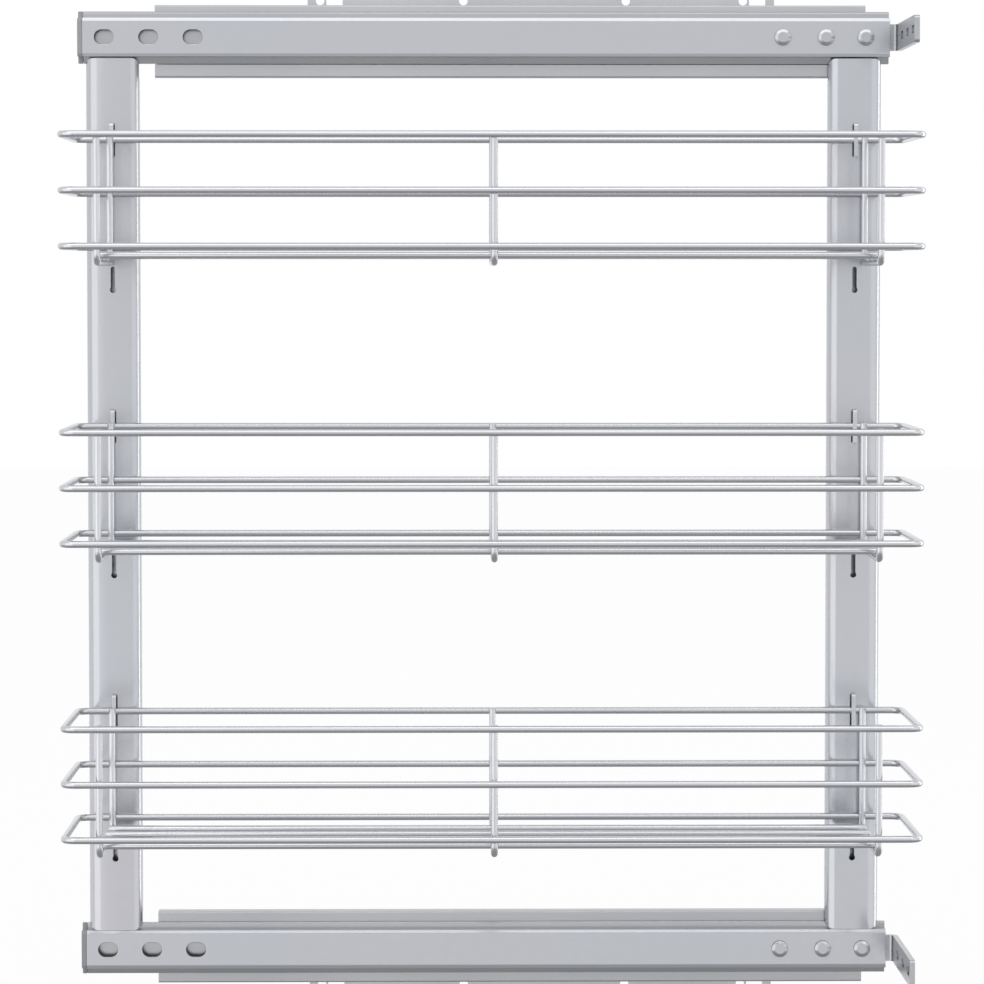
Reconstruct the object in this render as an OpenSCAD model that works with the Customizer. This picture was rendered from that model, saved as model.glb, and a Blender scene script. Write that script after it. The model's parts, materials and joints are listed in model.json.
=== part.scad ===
// Pull-out wire basket unit for the side of a narrow base cabinet.
// X runs along the travel, with the door at +X. Y runs across the cabinet: the side panel
// that carries the unit is the plane Y = 0 and the baskets hang at negative Y. Z is up.
// The origin is the middle of the four main mounting holes. The sizes and the modules count
// X and Z from the middle of the sliding frame, and place() moves each piece to the origin.

/* [Baskets] */
// Outer length of a basket
basket_l = 490; // [440:1:520]
// Outer width of a basket
basket_w = 107; // [90:1:140]
// Diameter of every basket wire
wire_d = 4; // [3:0.1:5]
// Bend radius at a basket's corners, to the middle of the wire
basket_bend_r = 7; // [5:0.5:12]
// Height from one of a basket's three closed wires to the next
ring_pitch = 31.5; // [26:0.5:36]
// Height from one basket to the next
basket_pitch = 168; // [160:1:176]
// Height of the middle basket's rim above the middle of the frame
basket_rise = 41; // [30:1:50]
// How far the baskets stand off the frame's middle, towards the door
basket_shift = 3.6; // [0:0.2:6]
// Clear gap between a basket's back wires and the uprights
basket_gap = 0.3; // [0.3:0.1:1.5]
// Middle of the rear cross wire from the basket's rear end
rear_cross_inset = 22.2; // [16:0.2:40]
// Middle of the front cross wire from the basket's front end
front_cross_inset = 25.4; // [16:0.2:40]
// Middle of the centre cross wire from the basket's middle, towards the door
centre_cross_shift = 1.2; // [-4:0.2:4]
// Drop of the cross wires' bottom below the lowest closed wire, centre to centre
cross_drop = 9; // [8:0.5:14]
// Bend radius of the cross wires, to the middle of the wire
cross_bend_r = 5; // [4:0.5:10]
// Spacing of the floor wires
floor_pitch = 24.6; // [16:0.2:26]
// How far a floor wire runs past the middle of the end cross wires
floor_end = 1.6; // [1:0.1:8]

/* [Basket hooks] */
// Thickness of the hook plates
hook_t = 2.4; // [1.5:0.1:2.6]
// Height of the hook's lug above the middle of the rim wire
lug_h = 10; // [6:0.5:14]
// Length of the tail below the neck, and so the lift that frees a basket
tail_l = 10; // [6:0.5:10]
// Depth of the tail behind the upright's wall
tail_d = 3; // [2:0.1:5]

/* [Uprights] */
// Width of an upright across its face
upright_w = 31.5; // [26:0.5:36]
// Depth of an upright
upright_d = 15; // [12:0.5:17]
// Wall of an upright's tube
upright_t = 1.2; // [1:0.1:2]
// Distance between the middles of the two uprights
upright_span = 436; // [400:1:440]
// How far an upright's face stands behind the rails' face
upright_back = 1.5; // [1:0.1:3]
// Width of a hook slot
hook_slot_w = 3.2; // [2.8:0.1:4]
// Height of a hook slot
hook_slot_h = 20.3; // [19.5:0.1:24]
// Height of a hook slot's top above the middle of the rim wire
hook_slot_top = 9.8; // [9:0.1:12]
// Width of a spare slot
spare_slot_w = 2.6; // [2:0.1:4]
// Height of a spare slot
spare_slot_h = 15.4; // [10:0.2:20]
// Drop of a spare slot's top below the middle of the rim wire
spare_slot_drop = 74.3; // [60:0.1:80]
// Diameter of the eye at a spare slot's lower end
spare_eye_d = 3.6; // [2.6:0.1:5]

/* [Rails] */
// Height from the lower rail's middle to the upper rail's middle
frame_h = 538; // [500:1:580]
// Length of a rail with its end cap
rail_l = 476.4; // [470:0.2:480]
// Height of a rail's channel
rail_h = 23; // [22:0.5:26]
// Depth of a rail's channel
rail_d = 7.5; // [7.5:0.1:9]
// Thickness of a rail's steel
rail_t = 1.5; // [1:0.1:1.6]
// Outer radius of a rail's two front corners
rail_r = 2.5; // [2:0.1:3.5]
// Height of the plate that closes a rail's back
back_h = 30.6; // [29:0.2:33]
// Thickness of the plate that closes a rail's back
back_t = 1.5; // [1:0.1:2]
// Length of a slot in a rail's rear end
rail_slot_l = 11.8; // [9:0.2:14]
// Height of a slot in a rail's rear end
rail_slot_w = 8.5; // [6:0.1:9]
// Middle of the last slot from the rail's rear end
rail_slot_end = 15.7; // [13:0.1:18]
// Spacing of the slots in a rail's rear end
rail_slot_pitch = 26; // [20:0.5:28]
// Thickness of an end cap outside the rail
cap_t = 3; // [2:0.1:4]
// Length of the end cap's plug inside the rail
cap_plug_l = 5; // [3:0.5:6]

/* [Door brackets] */
// Height of a door bracket
bracket_h = 15.5; // [13:0.1:16]
// Thickness of a door bracket
bracket_t = 3; // [2:0.1:3]
// Gap between a rail's end and the door bracket's plate
bracket_gap = 4.1; // [3:0.1:8]
// Reach of the door bracket in front of the rail's face
bracket_reach = 91; // [80:1:110]
// Length of the door bracket's leg inside the rail
bracket_leg = 74; // [72:1:90]
// Inner bend radius of a door bracket
bracket_bend_r = 2; // [1:0.1:3]
// Length of a slot in the door bracket's plate
door_slot_l = 12; // [8:0.5:16]
// Height of a slot in the door bracket's plate
door_slot_w = 4.6; // [4:0.1:6]
// Middle of the first door slot from the rail's face
door_slot_first = 26; // [20:0.5:30]
// Spacing of the door slots
door_slot_pitch = 28; // [20:0.5:28]
// Middle of the outermost bracket bolt from the rail's front end
bolt_end = 14.3; // [12:0.1:18]
// Spacing from the outermost bolt to the middle one
bolt_pitch_a = 23.3; // [16:0.1:24]
// Spacing from the middle bolt to the innermost one
bolt_pitch_b = 25.4; // [16:0.1:26]
// Diameter of a bolt's shank
bolt_d = 6; // [4:0.5:6]
// Diameter of a bolt's round head
bolt_head_d = 9.8; // [9:0.1:12]
// Height of a bolt's round head
bolt_head_h = 2.8; // [2:0.1:4]
// Width of a nut across its flats
nut_w = 10; // [8:0.5:11]
// Height of a nut
nut_h = 2.6; // [2:0.1:2.6]

/* [Runners] */
// Height of a runner's outer member
runner_h = 42.4; // [39:0.2:46]
// Length of a runner's outer member
runner_l = 418; // [410:1:420]
// Rear end of the runners from the frame's middle
runner_rear = 193.4; // [190:0.2:200]
// How far the upper runner sits below the middle of its rail
upper_runner_drop = 2; // [0:0.1:2.5]
// Thickness of the runners' steel
runner_t = 1.2; // [1:0.05:1.3]
// Outer radius of an outer member's two corners
outer_corner_r = 2.4; // [2:0.1:3]
// Outer radius of an inner member's two corners
inner_corner_r = 2; // [1.6:0.1:2.4]
// Diameter of the runners' balls
ball_d = 3.97; // [3.5:0.01:4]
// Gap between a ball and its races
race_gap = 0.05; // [0.03:0.01:0.08]
// Gap between the outer member's web and the middle member's web
web_gap = 1; // [0.9:0.05:1.2]
// Slope of the line between a middle member's outer and inner ball
ball_slope = 50; // [46:1:54]
// How far the inner member stands proud of the outer member
inner_proud = 0.6; // [0.4:0.05:1]
// Travel of the frame
travel = 400; // [300:5:400]
// Length of the middle member
middle_l = 400; // [390:1:405]
// Rear end of the middle member from the runner's rear end
middle_inset = 9.4; // [8.8:0.2:12]
// Rear end of the inner member from the runner's rear end
inner_inset = 8.4; // [8:0.2:12]
// Length of a ball cage
cage_l = 190; // [180:1:192]
// Thickness of a ball cage
cage_t = 0.5; // [0.4:0.05:0.6]
// Number of balls in one row
ball_n = 7; // [4:1:7]
// Spacing of the balls
ball_pitch = 27; // [12:0.5:28]
// Length of the rubber stop at a runner's rear end
bumper_l = 7; // [4:0.5:7.5]
// Diameter of the rivets
rivet_d = 4; // [3:0.1:5]
// Rearmost rivet of an inner member from the member's rear end
rail_rivet_inset = 45; // [30:1:60]

/* [Mounting plates] */
// Thickness of a mounting plate
plate_t = 2; // [1.5:0.1:3]
// Rear end of a mounting plate from the frame's middle
plate_rear = 104; // [100:0.5:110]
// Front end of a mounting plate from the frame's middle
plate_front = 171.7; // [168:0.1:180]
// How far a mounting plate stands out past its runner
plate_rise = 10.5; // [8:0.5:20]
// How far a mounting plate reaches past the middle of its runner
plate_reach = 14; // [8:1:18]
// Diameter of a mounting hole
hole_d = 5; // [4:0.1:5]
// Middle of the mounting holes past the runner's edge
hole_rise = 3.2; // [3:0.1:6]
// Place of the two main mounting holes' middle
main_hole_mid = 36; // [20:1:50]
// Spacing of the two main mounting holes
main_hole_pitch = 96; // [64:32:128]
// Rear mounting hole from the plate's rear end
rear_hole_inset = 7.4; // [6:0.1:10]
// Front mounting hole from the plate's front end
front_hole_inset = 18.5; // [17:0.1:24]
// Width of a mounting plate's notch
notch_w = 9.6; // [6:0.1:10]
// Middle of a notch from the mounting hole beside it
notch_from_hole = 8.5; // [8.4:0.1:9]

/* [Hidden] */
$fn = 48;
eps = 0.01;
// A welded wire stands this far off the one it is welded to.
weld = 0.02;
// Clearance of a moving piece from what it slides past.
slide_gap = 0.8;
// Clearance of a rivet or bolt in its hole.
hole_gap = 0.05;
bolt_gap = 0.4;
// Clearance of a ball in its cage.
pocket_gap = 0.1;
// Play of a hook plate beside it in its slot, and above it when it is lifted.
hook_play = 0.2;
// Overlap of two stretches of a runner's section where one runs on into the next.
lap = 0.1;
lap_rise = 0.002;

wire_r = wire_d / 2;
rail_z = frame_h / 2;
// Depths in Y, from the cabinet side outwards.
runner_y = -plate_t;

// Runner section, with u for depth and v for height from the runner's middle line.
race_r = ball_d / 2 + race_gap;
curl_r = race_r + runner_t;
race_step = race_r + curl_r;
middle_u = runner_t + web_gap;
inner_ball_u = middle_u + curl_r;
outer_ball_u = inner_ball_u + race_step * cos(ball_slope);
outer_ball_v = runner_h / 2 - curl_r;
inner_ball_v = outer_ball_v - race_step * sin(ball_slope);
outer_front_u = outer_ball_u + curl_r;
inner_front_u = outer_front_u + inner_proud;
inner_h = 2 * (inner_ball_v - race_r);

back_y = runner_y - inner_front_u;
channel_y = back_y - back_t;
face_y = channel_y - rail_d;
upright_y = face_y + upright_back;
far_y = upright_y - basket_gap - wire_r;
near_y = far_y - (basket_w - wire_d);

top_runner_z = rail_z - upper_runner_drop;
bottom_runner_z = -rail_z;
rail_x0 = -rail_l / 2;
rail_x1 = rail_l / 2;
runner_x0 = -runner_rear;
runner_x1 = runner_x0 + runner_l;
middle_x0 = runner_x0 + middle_inset;
inner_x0 = runner_x0 + inner_inset;
cage_lead = travel / 4 + 6;
// The cages sit where both of their members still cover them at full travel.
outer_cage_x0 = middle_x0 + cage_lead;
inner_cage_x0 = inner_x0 + cage_lead;
plate_x0 = -plate_rear;
plate_x1 = plate_front;
plate_holes = [plate_x0 + rear_hole_inset, main_hole_mid - main_hole_pitch / 2,
               main_hole_mid + main_hole_pitch / 2, plate_x1 - front_hole_inset];
plate_notches = [plate_holes[0] + notch_from_hole, plate_holes[3] + notch_from_hole];
plate_rivets = [plate_x0 + 44, main_hole_mid, plate_x1 - 42];
runner_rivets = [inner_x0 + rail_rivet_inset, 20, 148];
bolt_xs = [rail_x1 - bolt_end, rail_x1 - bolt_end - bolt_pitch_a,
           rail_x1 - bolt_end - bolt_pitch_a - bolt_pitch_b];

// A hook plate's lower edge rests in the round end of its slot.
slot_r = hook_slot_w / 2;
seat_rise = slot_r - sqrt(pow(slot_r, 2) - pow(slot_r - hook_play, 2)) + 0.05;
neck_h = hook_slot_h - tail_l - 2 * seat_rise - hook_play;

basket_names = ["upper", "middle", "lower"];
basket_parts = ["rim_wire", "middle_wire", "lower_wire", "rear_cross_wire", "centre_cross_wire",
                "front_cross_wire", "floor_wires", "hooks"];
rim_z = [basket_rise + basket_pitch, basket_rise, basket_rise - basket_pitch];
cross_xs = [basket_shift - basket_l / 2 + rear_cross_inset, basket_shift + centre_cross_shift,
            basket_shift + basket_l / 2 - front_cross_inset];

wire_steel = "silver";
sheet_steel = "lightgray";
dark_plastic = "dimgray";

// A section drawn in Y and Z, run along X.
module along_x(x0, x1) {
    translate([x0, 0, 0]) rotate([90, 0, 90]) linear_extrude(x1 - x0) children();
}

// A section drawn in depth u and height v, run along X at a runner's height.
module runner_run(x0, x1, z) {
    along_x(x0, x1) translate([runner_y, z]) mirror([1, 0, 0]) children();
}

// The same section above and below the runner's middle line.
module both_ways() {
    children();
    mirror([0, 1, 0]) children();
}

// Moves a piece from the frame's middle to the middle of the main mounting holes.
module place() {
    translate([-main_hole_mid, 0, upper_runner_drop / 2]) children();
}

// A hole or pin along Y, from y0 to y1.
module bar_y(x, z, d, y0, y1) {
    translate([x, y1, z]) rotate([90, 0, 0]) cylinder(d = d, h = y1 - y0);
}

// A bar with round sides along Y, long in X.
module slot_x(x, z, l, w, y0, y1) {
    for (s = [-1, 1]) bar_y(x + s * (l - w) / 2, z, w, y0, y1);
    translate([x - (l - w) / 2, y0, z - w / 2]) cube([l - w, y1 - y0, w]);
}

// A bar with round ends along Y, long in Z, from its lower end to its upper end.
module slot_z(x, z0, z1, w, y0, y1) {
    for (z = [z0 + w / 2, z1 - w / 2]) bar_y(x, z, w, y0, y1);
    translate([x - w / 2, y0, z0 + w / 2]) cube([w, y1 - y0, z1 - z0 - w]);
}

// A strip of sheet steel bent round a centre, from angle a0 to angle a1.
module bent_strip(centre, r, t, a0, a1) {
    reach = 2 * (r + t);
    steps = 4;
    translate(centre) intersection() {
        difference() {
            circle(r + t);
            circle(r);
        }
        polygon(concat([[0, 0]], [for (i = [0:steps])
            reach * [cos(a0 + (a1 - a0) * i / steps), sin(a0 + (a1 - a0) * i / steps)]]));
    }
}

// Outer member: a channel whose edges curl over the outer balls.
module outer_section() {
    corner_r = outer_corner_r;
    both_ways() {
        square([runner_t, runner_h / 2 - corner_r + lap]);
        bent_strip([corner_r, runner_h / 2 - corner_r], corner_r - runner_t, runner_t, 90, 180);
        translate([corner_r - lap, runner_h / 2 - runner_t])
            square([outer_ball_u - corner_r + 2 * lap, runner_t]);
        bent_strip([outer_ball_u, outer_ball_v], race_r, runner_t, -20, 90);
    }
}

// Middle member: its edges bend over the inner balls and then under the outer ones.
module middle_section() {
    race_start = 180 + ball_slope;
    race_end = 310;
    both_ways() {
        translate([middle_u, 0]) square([runner_t, inner_ball_v + lap]);
        bent_strip([inner_ball_u, inner_ball_v], race_r, runner_t, ball_slope, 180);
        translate([inner_ball_u, inner_ball_v]) rotate(ball_slope)
            translate([race_r - lap_rise, -lap]) square([runner_t + 2 * lap_rise, 2 * lap]);
        bent_strip([outer_ball_u, outer_ball_v], race_r, runner_t, race_start, race_end);
    }
}

// Inner member: a shallow channel whose edges run under the inner balls.
module inner_section() {
    corner_r = inner_corner_r;
    race_start = 250;
    race_end = 270;
    depth = inner_front_u - inner_ball_u;
    translate([inner_ball_u, 0]) mirror([1, 0, 0]) difference() {
        channel_outline(inner_h, depth, corner_r);
        translate([eps, 0]) channel_outline(inner_h - 2 * runner_t, depth - runner_t + eps,
            corner_r - runner_t);
    }
    both_ways() bent_strip([inner_ball_u, inner_ball_v], race_r, runner_t,
        race_start, race_end);
}

module outer_member(z) {
    color(sheet_steel) difference() {
        runner_run(runner_x0, runner_x1, z) outer_section();
        for (x = plate_rivets)
            bar_y(x, z, rivet_d + 2 * hole_gap, runner_y - runner_t - eps, runner_y + eps);
    }
}

module middle_member(z) {
    color(sheet_steel) runner_run(middle_x0, middle_x0 + middle_l, z) middle_section();
}

module inner_member(z) {
    color(sheet_steel) difference() {
        runner_run(inner_x0, runner_x1, z) inner_section();
        for (x = runner_rivets)
            bar_y(x, z, rivet_d + 2 * hole_gap, back_y - eps, back_y + runner_t + eps);
    }
}

// Places of one cage's balls along X.
function ball_xs(x0) = [for (i = [0:ball_n - 1])
    x0 + cage_l / 2 + (i - (ball_n - 1) / 2) * ball_pitch];

// A bent strip that holds two rows of balls, open where each ball meets its race.
module cage(x0, z, web_u, edge_u, ball_u, ball_v) {
    color("gainsboro") difference() {
        runner_run(x0, x0 + cage_l, z) both_ways() {
            translate([web_u, 0]) square([cage_t, ball_v + cage_t / 2]);
            translate([web_u, ball_v - cage_t / 2]) square([edge_u - web_u, cage_t]);
        }
        for (x = ball_xs(x0), s = [-1, 1])
            translate([x, runner_y - ball_u, z + s * ball_v])
                cylinder(d = ball_d + 2 * pocket_gap, h = 3, center = true);
    }
}

module balls(x0, z, ball_u, ball_v) {
    color("white") for (x = ball_xs(x0), s = [-1, 1])
        translate([x, runner_y - ball_u, z + s * ball_v]) sphere(d = ball_d);
}

module outer_cage(z) {
    web_u = runner_t + (web_gap - cage_t) / 2;
    cage(outer_cage_x0, z, web_u, outer_ball_u + 1.4, outer_ball_u, outer_ball_v);
}

module inner_cage(z) {
    web_u = middle_u + runner_t + 0.25;
    cage(inner_cage_x0, z, web_u, inner_ball_u + 2.8, inner_ball_u, inner_ball_v);
}

// Rubber block that the frame stops against when it is pushed home.
module rear_stop(z) {
    block_h = 18;
    stop_u = runner_t + weld;
    color(dark_plastic) difference() {
        runner_run(runner_x0, runner_x0 + bumper_l, z) translate([stop_u, -block_h / 2])
            square([outer_front_u - 1 - stop_u, block_h]);
        for (s = [-1, 1]) bar_y(runner_x0 + bumper_l, z + s * block_h / 4, 3,
            runner_y - outer_front_u, runner_y - stop_u - 2);
    }
}

// Rivets with flush ends that join an outer member to its mounting plate.
module plate_rivet_set(z) {
    color(wire_steel) for (x = plate_rivets) bar_y(x, z, rivet_d, runner_y - runner_t, 0);
}

// Rivets that join an inner member to its rail's back plate.
module runner_rivet_set(z) {
    head_d = 7;
    head_h = 1.4;
    color(wire_steel) for (x = runner_rivets) {
        bar_y(x, z, rivet_d, channel_y - eps, back_y + runner_t + eps);
        bar_y(x, z, head_d, channel_y - head_h, channel_y);
        bar_y(x, z, head_d - 1, back_y + runner_t, back_y + runner_t + head_h);
    }
}

// Plate that is screwed to the cabinet side. out is 1 on the upper plate and -1 on the lower.
module mounting_plate(z, out) {
    edge = runner_h / 2;
    color(sheet_steel) translate([0, 0, z]) scale([1, 1, out]) difference() {
        translate([plate_x0, -plate_t, -plate_reach])
            cube([plate_x1 - plate_x0, plate_t, plate_reach + edge + plate_rise]);
        for (x = plate_holes) bar_y(x, edge + hole_rise, hole_d, -plate_t - eps, eps);
        for (x = plate_notches) translate([x - notch_w / 2, -plate_t - eps, edge])
            cube([notch_w, plate_t + 2 * eps, plate_rise + eps]);
        for (x = plate_rivets) bar_y(x, 0, rivet_d + 2 * hole_gap, -plate_t - eps, eps);
    }
}

// A channel's outline with two round front corners, open side at Y = 0.
module channel_outline(h, d, r) {
    intersection() {
        union() {
            translate([r - d, -h / 2]) square([d - r, h]);
            translate([-d, r - h / 2]) square([d, h - 2 * r]);
            for (s = [-1, 1]) translate([r - d, s * (h / 2 - r)]) circle(r);
        }
        translate([-d, -h / 2]) square([d, h]);
    }
}

// Rail: a channel with slots at its rear end and bolt holes at its front end.
module rail(z) {
    color(sheet_steel) difference() {
        along_x(rail_x0 + cap_t, rail_x1) translate([channel_y, z]) difference() {
            channel_outline(rail_h, rail_d, rail_r);
            translate([eps, 0])
                channel_outline(rail_h - 2 * rail_t, rail_d - rail_t + eps, rail_r - rail_t);
        }
        for (i = [0:2]) slot_x(rail_x0 + rail_slot_end + i * rail_slot_pitch, z, rail_slot_l,
            rail_slot_w, face_y - eps, face_y + rail_t + eps);
        for (x = bolt_xs)
            bar_y(x, z, bolt_d + 2 * bolt_gap, face_y - eps, face_y + rail_t + eps);
    }
}

// Flat plate that closes the back of a rail and carries the inner member.
module rail_back_plate(z, runner_z) {
    color(sheet_steel) difference() {
        translate([rail_x0 + cap_t, channel_y, z - back_h / 2])
            cube([rail_l - cap_t, back_t, back_h]);
        for (x = runner_rivets)
            bar_y(x, runner_z, rivet_d + 2 * hole_gap, channel_y - eps, back_y + eps);
    }
}

// Cap on a rail's rear end, with a plug inside the channel.
module end_cap(z) {
    plug_gap = 0.15;
    color(dark_plastic) {
        along_x(rail_x0, rail_x0 + cap_t) {
            translate([channel_y, z]) channel_outline(rail_h, rail_d, rail_r);
            translate([channel_y - eps, z - back_h / 2]) square([back_t + eps, back_h]);
        }
        along_x(rail_x0 + cap_t - eps, rail_x0 + cap_t + cap_plug_l)
            translate([channel_y - plug_gap, z]) channel_outline(rail_h - 2 * (rail_t + plug_gap),
                rail_d - rail_t - 2 * plug_gap, rail_r - rail_t - plug_gap);
    }
}

// Angle bracket: its leg lies inside the rail and its plate takes the door.
module door_bracket(z) {
    plate_x = rail_x1 + bracket_gap;
    leg_y = face_y + rail_t;
    r = bracket_bend_r;
    leg_l = bracket_leg + bracket_gap - r;
    plate_l = bracket_reach + rail_t - r;
    corner_r = 2;
    color(sheet_steel) difference() {
        translate([plate_x - r, leg_y - r, z - bracket_h / 2]) union() {
            translate([-leg_l, r, 0]) cube([leg_l, bracket_t, bracket_h]);
            intersection() {
                difference() {
                    cylinder(r = r + bracket_t, h = bracket_h);
                    translate([0, 0, -eps]) cylinder(r = r, h = bracket_h + 2 * eps);
                }
                cube([r + bracket_t, r + bracket_t, bracket_h]);
            }
            translate([r, corner_r - plate_l, 0])
                cube([bracket_t, plate_l - corner_r, bracket_h]);
            translate([r, -plate_l, corner_r])
                cube([bracket_t, corner_r + eps, bracket_h - 2 * corner_r]);
            for (v = [corner_r, bracket_h - corner_r])
                translate([r, corner_r - plate_l, v])
                    rotate([0, 90, 0]) cylinder(r = corner_r, h = bracket_t);
        }
        for (x = bolt_xs)
            bar_y(x, z, bolt_d + 2 * bolt_gap, leg_y - eps, leg_y + bracket_t + eps);
        for (i = [0:2]) door_slot(face_y - door_slot_first - i * door_slot_pitch, z, plate_x);
    }
}

// Slot through the door bracket's plate, long in Y.
module door_slot(y, z, plate_x) {
    half = (door_slot_l - door_slot_w) / 2;
    for (s = [-1, 1]) translate([plate_x - eps, y + s * half, z])
        rotate([0, 90, 0]) cylinder(d = door_slot_w, h = bracket_t + 2 * eps);
    translate([plate_x - eps, y - half, z - door_slot_w / 2])
        cube([bracket_t + 2 * eps, 2 * half, door_slot_w]);
}

// Round-headed bolts through the rail and the bracket's leg, each with its nut.
module bracket_bolts(z) {
    leg_back_y = face_y + rail_t + bracket_t;
    head_r = bolt_head_d / 2;
    edge_r = 0.7 * bolt_head_h;
    shank_end = 0.2;
    color(wire_steel) for (x = bolt_xs) translate([x, 0, z]) {
        bar_y(0, 0, bolt_d, face_y - eps, leg_back_y + nut_h + shank_end);
        translate([0, face_y, 0]) rotate([90, 0, 0]) rotate_extrude() intersection() {
            square([head_r, bolt_head_h]);
            union() {
                square([head_r - edge_r, bolt_head_h]);
                square([head_r, bolt_head_h - edge_r]);
                translate([head_r - edge_r, bolt_head_h - edge_r]) circle(edge_r);
            }
        }
        translate([0, leg_back_y + nut_h, 0]) rotate([90, 30, 0])
            cylinder(d = nut_w / cos(30), h = nut_h, $fn = 6);
    }
}

// Flat-sided oval of an upright's tube.
module oval(w, d) {
    square([w - d, d], center = true);
    for (s = [-1, 1]) translate([s * (w - d) / 2, 0]) circle(d / 2);
}

// Upright: a slotted oval tube, coped over both rails and notched clear of both runners.
module upright(x) {
    mid_y = upright_y + upright_d / 2;
    wall_y = upright_y + upright_t;
    color(sheet_steel) difference() {
        translate([x, mid_y, -rail_z]) linear_extrude(2 * rail_z) difference() {
            oval(upright_w, upright_d);
            oval(upright_w - 2 * upright_t, upright_d - 2 * upright_t);
        }
        along_x(x - upright_w, x + upright_w) {
            for (z = [-rail_z, rail_z])
                translate([channel_y, z]) channel_outline(rail_h, rail_d, rail_r);
            translate([channel_y, top_runner_z - runner_h / 2 - slide_gap])
                square([upright_d, runner_h]);
            translate([channel_y, bottom_runner_z - runner_h / 2 + slide_gap])
                square([upright_d, runner_h]);
        }
        for (z = rim_z) {
            slot_z(x, z + hook_slot_top - hook_slot_h, z + hook_slot_top, hook_slot_w,
                   upright_y - eps, wall_y + 1);
            slot_z(x, z - spare_slot_drop - spare_slot_h, z - spare_slot_drop, spare_slot_w,
                   upright_y - eps, wall_y + 1);
            bar_y(x, z - spare_slot_drop - spare_slot_h + spare_eye_d / 2, spare_eye_d,
                  upright_y - eps, wall_y + 1);
        }
    }
}

// A straight wire between two points on one axis.
module wire_x(x0, x1, y, z) {
    translate([x0, y, z]) rotate([0, 90, 0]) cylinder(r = wire_r, h = x1 - x0);
}

module wire_y(x, y0, y1, z) {
    bar_y(x, z, wire_d, y0, y1);
}

// A quarter bend of wire in the plane of its two legs.
module wire_bend(r) {
    rotate_extrude(angle = 90) translate([r, 0]) circle(wire_r);
}

// A closed wire with four round corners.
module basket_ring(z) {
    half_l = basket_l / 2 - wire_r - basket_bend_r;
    half_w = (basket_w - wire_d) / 2 - basket_bend_r;
    r = basket_bend_r;
    color(wire_steel) translate([basket_shift, (near_y + far_y) / 2, z]) union() {
        for (s = [-1, 1]) wire_x(-half_l, half_l, s * (half_w + r), 0);
        for (s = [-1, 1]) wire_y(s * (half_l + r), -half_w, half_w, 0);
        translate([half_l, half_w, 0]) wire_bend(r);
        translate([-half_l, half_w, 0]) rotate([0, 0, 90]) wire_bend(r);
        translate([-half_l, -half_w, 0]) rotate([0, 0, 180]) wire_bend(r);
        translate([half_l, -half_w, 0]) rotate([0, 0, 270]) wire_bend(r);
    }
}

// A U of wire inside the three closed wires, from the rim down and under the floor.
module cross_wire(x, rim) {
    half_w = (basket_w - 3 * wire_d) / 2 - weld;
    base_z = rim - 2 * ring_pitch - cross_drop;
    top_z = rim + wire_r;
    r = cross_bend_r;
    color(wire_steel) translate([x, (near_y + far_y) / 2, base_z]) union() {
        for (s = [-1, 1]) translate([0, s * half_w, r])
            cylinder(r = wire_r, h = top_z - base_z - r);
        wire_y(0, r - half_w, half_w - r, 0);
        translate([0, half_w - r, r]) rotate([0, 90, 0]) wire_bend(r);
        translate([0, r - half_w, r]) rotate([0, 90, 180]) mirror([0, 0, 1]) wire_bend(r);
    }
}

// Four straight wires that lie on the cross wires.
module floor_wires(rim) {
    z = rim - 2 * ring_pitch - cross_drop + wire_d + weld;
    mid_y = (near_y + far_y) / 2;
    color(wire_steel) for (i = [-1.5:1:1.5])
        wire_x(cross_xs[0] - floor_end, cross_xs[2] + floor_end, mid_y + i * floor_pitch, z);
}

// Plate hook: a lug on the rim wire, a neck through the upright's slot and a tail behind it.
module hook_outline() {
    neck_z = hook_slot_top - hook_slot_h + seat_rise;
    tail_y = upright_y + upright_t + 0.4;
    difference() {
        union() {
            translate([far_y - wire_r, neck_z]) square([tail_y + tail_d - far_y + wire_r, neck_h]);
            translate([far_y - wire_r, neck_z]) square([wire_d, -neck_z]);
            translate([tail_y, neck_z - tail_l + 1]) square([tail_d, tail_l]);
            translate([tail_y + 1, neck_z - tail_l]) square([tail_d - 1, 1 + eps]);
            translate([tail_y + 1, neck_z - tail_l + 1]) circle(1);
        }
        translate([far_y, 0]) circle(wire_r + weld);
    }
    difference() {
        union() {
            translate([far_y - wire_r, 0]) square([wire_d, lug_h - wire_r]);
            translate([far_y, lug_h - wire_r]) circle(wire_r);
        }
        translate([far_y, 0]) circle(wire_r + weld);
    }
}

module hooks(rim) {
    side_shift = (hook_slot_w - hook_t) / 2 - hook_play;
    color(sheet_steel) for (s = [-1, 1]) {
        x = s * (upright_span / 2 + side_shift);
        along_x(x - hook_t / 2, x + hook_t / 2) translate([0, rim]) hook_outline();
    }
}

place() mounting_plate(top_runner_z, 1);  // top_mounting_plate
place() plate_rivet_set(top_runner_z);  // top_plate_rivets
place() outer_member(top_runner_z);  // top_outer_member
place() rear_stop(top_runner_z);  // top_rear_stop
place() outer_cage(top_runner_z);  // top_outer_cage
place() balls(outer_cage_x0, top_runner_z, outer_ball_u, outer_ball_v);  // top_outer_balls
place() middle_member(top_runner_z);  // top_middle_member
place() inner_cage(top_runner_z);  // top_inner_cage
place() balls(inner_cage_x0, top_runner_z, inner_ball_u, inner_ball_v);  // top_inner_balls
place() inner_member(top_runner_z);  // top_inner_member
place() runner_rivet_set(top_runner_z);  // top_runner_rivets
place() rail(rail_z);  // top_rail
place() rail_back_plate(rail_z, top_runner_z);  // top_rail_back_plate
place() end_cap(rail_z);  // top_end_cap
place() door_bracket(rail_z);  // top_door_bracket
place() bracket_bolts(rail_z);  // top_bracket_bolts
place() mounting_plate(bottom_runner_z, -1);  // bottom_mounting_plate
place() plate_rivet_set(bottom_runner_z);  // bottom_plate_rivets
place() outer_member(bottom_runner_z);  // bottom_outer_member
place() rear_stop(bottom_runner_z);  // bottom_rear_stop
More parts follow.
